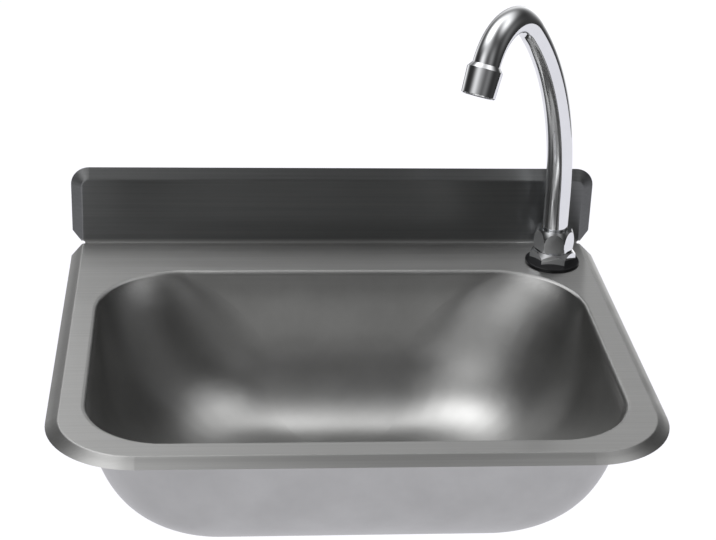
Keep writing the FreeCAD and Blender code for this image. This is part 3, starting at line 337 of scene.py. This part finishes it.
# %% Floor
FLOOR_LEVEL = -0.62
FLOOR_HALF_WIDTH = 6.0
floor_shape = bmesh.new()
bmesh.ops.create_grid(floor_shape, x_segments=1, y_segments=1, size=FLOOR_HALF_WIDTH)
bmesh.ops.translate(floor_shape, verts=floor_shape.verts, vec=(0.0, 0.0, FLOOR_LEVEL))
floor_mesh = bpy.data.meshes.new("floor")
floor_shape.to_mesh(floor_mesh)
floor_shape.free()
floor = bpy.data.objects.new("floor", floor_mesh)
bpy.context.scene.collection.objects.link(floor)
print("floor level:", FLOOR_LEVEL)

# %% [markdown]
# The floor's paint glows for the camera, for glass and for reflections in metal, and for nothing
# else, so it looks white without throwing more light on the object. The small share of plain paint
# under the glow takes the object's shadow. The underside of the bowl mirrors the glow.

# %% Floor paint
PAINT = (0.82, 0.82, 0.82, 1)
PAINT_GLOW = (0.955, 0.95, 1.0, 1)
GLOW_SEEN = 1.10  # its strength for the camera and through glass
GLOW_REFLECTED = 0.85
GLOW_SHARE = 0.96


def floor_paint():
    """Pale paint under a white glow that only the camera, glass and polished metal see."""
    material, tree, shader = new_material("pale_floor")
    shader.inputs["Base Color"].default_value = PAINT
    shader.inputs["Roughness"].default_value = 0.9
    shader.inputs["Specular IOR Level"].default_value = 0.0
    ray = add(tree, "ShaderNodeLightPath").outputs
    seen = math_node(tree, "MAXIMUM", ray["Is Camera Ray"], ray["Is Transmission Ray"])
    glows = math_node(tree, "MAXIMUM", seen, ray["Is Glossy Ray"])
    glow = add(tree, "ShaderNodeEmission", {"Color": PAINT_GLOW})
    strength = scaled(tree, seen, GLOW_SEEN - GLOW_REFLECTED, GLOW_REFLECTED)
    link(tree, strength, glow.inputs["Strength"])
    mix = add(tree, "ShaderNodeMixShader")
    link(tree, math_node(tree, "MULTIPLY", glows, GLOW_SHARE), mix.inputs["Fac"])
    link(tree, shader.outputs[0], mix.inputs[1])
    link(tree, glow.outputs[0], mix.inputs[2])
    output = next(node for node in tree.nodes if node.type == "OUTPUT_MATERIAL")
    link(tree, mix.outputs[0], output.inputs["Surface"])
    return material


floor_mesh.materials.append(floor_paint())
print("floor paint:", PAINT[:3])

# %% [markdown]
# The background is white for the camera, for glass and for reflections, and about half as strong
# as light. So it looks like white paper, and doesn't wash out the object.

# %% Background
WHITE = (1, 1, 1, 1)
SKY_SEEN = 1.0  # its strength for the camera, glass and reflections
SKY_LIGHT = 0.55
world = bpy.data.worlds.new("studio")
bpy.context.scene.world = world
world.use_nodes = True
sky = world.node_tree
sky.nodes.clear()
ray = add(sky, "ShaderNodeLightPath").outputs
seen = math_node(sky, "MAXIMUM", ray["Is Camera Ray"], ray["Is Glossy Ray"])
seen = math_node(sky, "MAXIMUM", seen, ray["Is Transmission Ray"])
soft = add(sky, "ShaderNodeBackground", {"Color": WHITE, "Strength": SKY_LIGHT})
white = add(sky, "ShaderNodeBackground", {"Color": WHITE, "Strength": SKY_SEEN})
blend = add(sky, "ShaderNodeMixShader")
link(sky, seen, blend.inputs["Fac"])
link(sky, soft.outputs[0], blend.inputs[1])
link(sky, white.outputs[0], blend.inputs[2])
far = add(sky, "ShaderNodeOutputWorld")
link(sky, blend.outputs[0], far.inputs["Surface"])
print("background:", SKY_SEEN, "seen,", SKY_LIGHT, "as light")

# %% [markdown]
# ### The tent
# Each glow is written by its direction, and the tent's cloth adds them up. Their strengths were
# fitted until the faces of the basin and the tap were about as bright as in the photograph. Most
# of the light is high up, behind the basin and at both sides, where the deck and the bowl look.
# Two glows stand low behind it, and those in front and at the front left are weaker.

# %% Glows of the tent
# each soft glow: its azimuth and elevation in degrees, and its strength
GLOWS = [
    (0, 70, 0.18), (270, 70, 1.11), (315, 70, 0.65),
    (0, 60, 0.22), (30, 60, 0.76), (60, 60, 0.27), (90, 60, 1.07),
    (210, 60, 0.26), (300, 60, 1.25), (330, 60, 0.93),
    (168, 50, 0.05), (220, 40, 0.15), (240, 40, 0.49),
    (154, 30, 0.19), (223, 30, 0.44), (240, 30, 0.13),
    (0, 20, 0.51), (16, 20, 0.37), (94, 20, 0.09),
    (90, 10, 0.04), (150, 10, 0.09), (195, 10, 0.41), (210, 10, 0.35),
    (30, 0, 1.63), (330, 0, 0.94),
]
GLOW_WIDTH = 16  # degrees from its centre to where a glow has faded to about a third
TENT_TONE = 0.03


def towards(azimuth, elevation):
    """A direction from the object: azimuth 0 is behind it, 90 to its right."""
    a, e = math.radians(azimuth), math.radians(elevation)
    return Vector((math.sin(a) * math.cos(e), math.cos(a) * math.cos(e), math.sin(e)))


glows = [(towards(azimuth, elevation), strength) for azimuth, elevation, strength in GLOWS]


def tone(direction):
    """The tent's brightness in a direction: the cloth's own tone and every glow near it."""
    total = TENT_TONE
    for centre, strength in glows:
        apart = math.degrees(math.acos(max(min(direction.dot(centre), 1.0), -1.0)))
        total += strength * math.exp(-(apart / GLOW_WIDTH) ** 2)
    return total


print("soft glows:", len(glows), "brightest:", max(strength for _, strength in glows))

# %% [markdown]
# The tent is a large sphere, cut off just above the floor, and each of its points carries the
# brightness there as an attribute. It shows in reflections only. Cycles would also aim rays at it
# as at a lamp, which suits a small bright source. This one is large and soft, so that is off.

# %% Tent
TARGET = Vector((0.0, -0.18, 0.0))  # about the middle of the basin, level with its deck
TENT_RADIUS = 2.4
TENT_GAP = 0.005  # between its hem and the floor
dome = bmesh.new()
bmesh.ops.create_uvsphere(dome, u_segments=96, v_segments=60, radius=TENT_RADIUS)
hem = (0.0, 0.0, FLOOR_LEVEL - TARGET.z + TENT_GAP)
bmesh.ops.bisect_plane(dome, geom=dome.verts[:] + dome.edges[:] + dome.faces[:],
                       plane_co=hem, plane_no=(0.0, 0.0, -1.0), clear_outer=True)
tent_mesh = bpy.data.meshes.new("tent")
dome.to_mesh(tent_mesh)
dome.free()
marks = tent_mesh.attributes.new("glow", "FLOAT", "POINT")
for vertex, mark in zip(tent_mesh.vertices, marks.data):
    mark.value = tone(vertex.co.normalized())
tent_mesh.transform(Matrix.Translation(TARGET))
tent = bpy.data.objects.new("tent", tent_mesh)
bpy.context.scene.collection.objects.link(tent)
tent.visible_camera = False
tent.visible_shadow = False
tent.visible_diffuse = False
print("tent faces:", len(tent_mesh.polygons))

# %% Cloth of the tent
cloth = bpy.data.materials.new("tent_glow")
cloth.use_nodes = True
cloth.cycles.emission_sampling = "NONE"
cloth_tree = cloth.node_tree
cloth_tree.nodes.clear()
cloth_out = add(cloth_tree, "ShaderNodeOutputMaterial")
cloth_glow = add(cloth_tree, "ShaderNodeEmission", {"Color": WHITE})
cloth_tone = add(cloth_tree, "ShaderNodeAttribute", attribute_name="glow")
link(cloth_tree, cloth_tone.outputs["Fac"], cloth_glow.inputs["Strength"])
link(cloth_tree, cloth_glow.outputs[0], cloth_out.inputs["Surface"])
tent_mesh.materials.append(cloth)
print("nodes of the cloth:", len(cloth_tree.nodes))

# %% [markdown]
# ### Two lamps
# Rubber, fibre and plastic are lit by what falls on them, and the tent only shows in reflections.
# So a soft lamp stands high up behind at the left, and a weaker one in front at the right. Neither
# shows in a reflection.

# %% Lamps
def lamp(name, azimuth, elevation, distance, size, power):
    """A soft lamp for the matt pieces; metal shows the tent instead."""
    data = bpy.data.lights.new(name, "AREA")
    data.shape = "DISK"
    data.size = size
    data.energy = power
    piece = bpy.data.objects.new(name, data)
    piece.location = TARGET + distance * towards(azimuth, elevation)
    piece.rotation_mode = "QUATERNION"
    piece.rotation_quaternion = (TARGET - piece.location).to_track_quat("-Z", "Y")
    piece.visible_glossy = False
    bpy.context.scene.collection.objects.link(piece)
    return piece


key = lamp("key_lamp", azimuth=-25, elevation=60, distance=2.2, size=1.0, power=18.0)
fill = lamp("fill_lamp", azimuth=150, elevation=45, distance=2.4, size=1.2, power=9.0)
print("lamps in watts:", key.data.energy, fill.data.energy)

# %% [markdown]
# ## The camera
# The photograph was taken from in front, a little to the left and from well above the rim, with a
# long lens. These numbers come from fitting the basin's straight edges and corners.

# %% Camera
SENSOR_WIDTH = 36.0
PHOTO_WIDTH = 716.0
FOCAL_PIXELS = 1794.0  # the focal length in pixels of the photograph
CAMERA_PLACE = (-0.099, -1.268, 0.567)
YAW, PITCH, ROLL = (math.radians(angle) for angle in (5.37, 24.96, 2.19))
lens = bpy.data.cameras.new("camera")
lens.sensor_width = SENSOR_WIDTH
lens.lens = FOCAL_PIXELS / PHOTO_WIDTH * SENSOR_WIDTH
camera = bpy.data.objects.new("camera", lens)
camera.location = CAMERA_PLACE
ahead = Vector((math.sin(YAW) * math.cos(PITCH), math.cos(YAW) * math.cos(PITCH), -math.sin(PITCH)))
level = Vector((math.cos(YAW), -math.sin(YAW), 0.0))
upward = level.cross(ahead)
across = math.cos(ROLL) * level + math.sin(ROLL) * upward
over = -math.sin(ROLL) * level + math.cos(ROLL) * upward
camera.rotation_mode = "QUATERNION"
camera.rotation_quaternion = Matrix((across, over, -ahead)).transposed().to_quaternion()
bpy.context.scene.collection.objects.link(camera)
bpy.context.scene.camera = camera
bpy.context.scene.view_settings.view_transform = "Standard"
print("lens:", round(lens.lens, 1), "mm")
